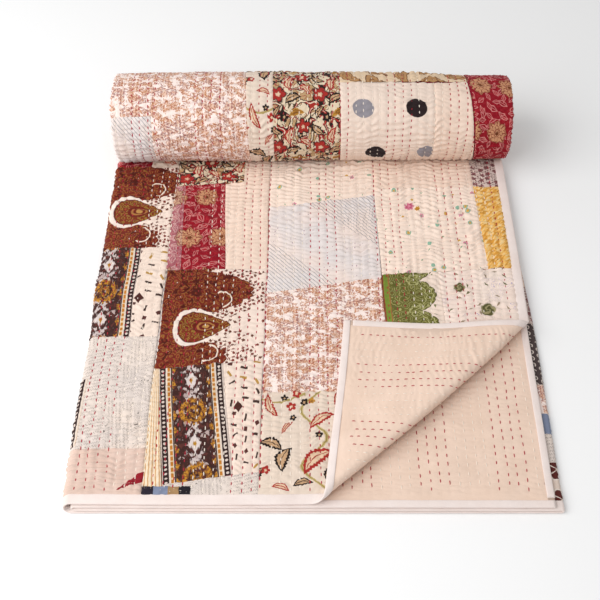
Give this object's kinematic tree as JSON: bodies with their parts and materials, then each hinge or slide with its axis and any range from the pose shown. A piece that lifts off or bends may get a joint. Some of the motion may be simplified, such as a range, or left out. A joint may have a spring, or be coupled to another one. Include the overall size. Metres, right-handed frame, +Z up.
{
  "type": "patchwork quilt",
  "caption": "Hand-quilted patchwork bed cover, folded in four along its length, with its far end rolled and one front corner turned back.",
  "frame": {"origin": "centre of the bounding box, at the surface it rests on", "axes": "+Z up, +Y from the front edge of the folded stack towards the roll, +X along the roll to the right as seen from the front"},
  "size_m": [0.5878, 0.6722, 0.1308],
  "materials": {
    "quilt_cloth": "matte",
    "edge_binding": "matte"
  },
  "bodies": {
    "root": {"quilt_cloth": "quilt_cloth", "edge_binding": "edge_binding"}
  },
  "joints": []
}
